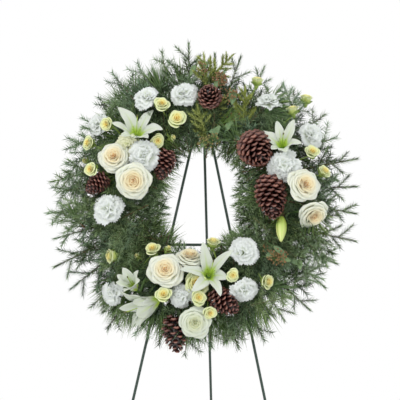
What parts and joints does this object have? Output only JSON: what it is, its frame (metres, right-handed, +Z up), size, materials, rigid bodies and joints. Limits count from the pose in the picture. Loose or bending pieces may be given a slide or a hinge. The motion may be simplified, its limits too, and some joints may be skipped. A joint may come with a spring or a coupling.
{
  "type": "funeral wreath on a wire easel",
  "caption": "Evergreen funeral wreath with white lilies, roses, carnations and pine cones, resting on a folding green wire easel.",
  "frame": {"origin": "on the floor, under the middle of the whole standing object's box", "axes": "+Z up; the wreath faces -Y and leans back; +X to the viewer's right"},
  "size_m": [0.773, 0.7102, 1.4494],
  "materials": {
    "easel_paint": "dark green enamel on steel wire, satin",
    "tray_plastic": "moulded dark green plastic",
    "wet_foam": "soaked green floral foam, fine open grain",
    "tie_wire": "dull green florist's wire",
    "rose_petal": "ivory petals with a peach heart, soft velvet sheen",
    "carnation_petal": "white ruffled petals, matt",
    "lily_petal": "white waxy petals with a green throat",
    "lily_bud_green": "waxy yellow-green bud",
    "spray_rose_petal": "cream-yellow petals, greenish outside",
    "cone_scale": "red-brown scales with pale tips, slightly glossy",
    "eucalyptus_leaf": "grey-green leaves with a waxy bloom",
    "evergreen_needle": "mixed fir and pine needles, satin"
  },
  "bodies": {
    "easel_front": {"front_leg_left": "easel_paint", "rest_prong_left": "easel_paint", "front_leg_right": "easel_paint", "rest_prong_right": "easel_paint", "pivot_bar": "easel_paint", "crossbar": "easel_paint", "ring_tray": "tray_plastic", "foam_ring": "wet_foam", "hanging_wire": "tie_wire", "lily_left": "lily_petal", "lily_right": "lily_petal", "lily_bottom": "lily_petal", "lily_low_left": "lily_petal", "lily_low": "lily_petal", "rose_left_upper": "rose_petal", "rose_left_lower": "rose_petal", "rose_right_upper": "rose_petal", "rose_right_lower": "rose_petal", "rose_bottom_large": "rose_petal", "rose_bottom_back": "rose_petal", "rose_bottom_low": "rose_petal", "cone_top": "cone_scale", "cone_right_upper": "cone_scale", "cone_right_lower": "cone_scale", "cone_left_inner": "cone_scale", "cone_left_outer": "cone_scale", "cone_bottom_right": "cone_scale", "cone_bottom_left": "cone_scale", "carnation_top_left": "carnation_petal", "carnation_top": "carnation_petal", "carnation_left_outer": "carnation_petal", "carnation_left_inner": "carnation_petal", "carnation_left_low": "carnation_petal", "carnation_right_top": "carnation_petal", "carnation_right_outer": "carnation_petal", "carnation_right_middle": "carnation_petal", "carnation_low_left": "carnation_petal", "carnation_bottom_right": "carnation_petal", "carnation_bottom_outer": "carnation_petal", "spray_roses_left": "spray_rose_petal", "spray_roses_top": "spray_rose_petal", "spray_roses_right_top": "spray_rose_petal", "spray_roses_right": "spray_rose_petal", "spray_roses_low_left": "spray_rose_petal", "spray_roses_bottom": "spray_rose_petal", "spray_roses_bottom_right": "spray_rose_petal", "lily_bud": "lily_bud_green", "eucalyptus_top": "eucalyptus_leaf", "eucalyptus_inner": "eucalyptus_leaf", "eucalyptus_low": "eucalyptus_leaf", "evergreen_bundle_1": "evergreen_needle", "evergreen_bundle_2": "evergreen_needle", "evergreen_bundle_3": "evergreen_needle", "evergreen_bundle_4": "evergreen_needle", "evergreen_bundle_5": "evergreen_needle", "evergreen_bundle_6": "evergreen_needle", "evergreen_bundle_7": "evergreen_needle", "evergreen_bundle_8": "evergreen_needle", "evergreen_bundle_9": "evergreen_needle"},
    "back_leg": {"back_leg": "easel_paint"}
  },
  "joints": [
    {"name": "back_leg_fold", "type": "hinge", "parent": "easel_front", "child": "back_leg", "pos_m": [-0.00224, -0.11152, 1.34441], "axis": [-1, 0, 0], "range_deg": [0, 25]}
  ]
}
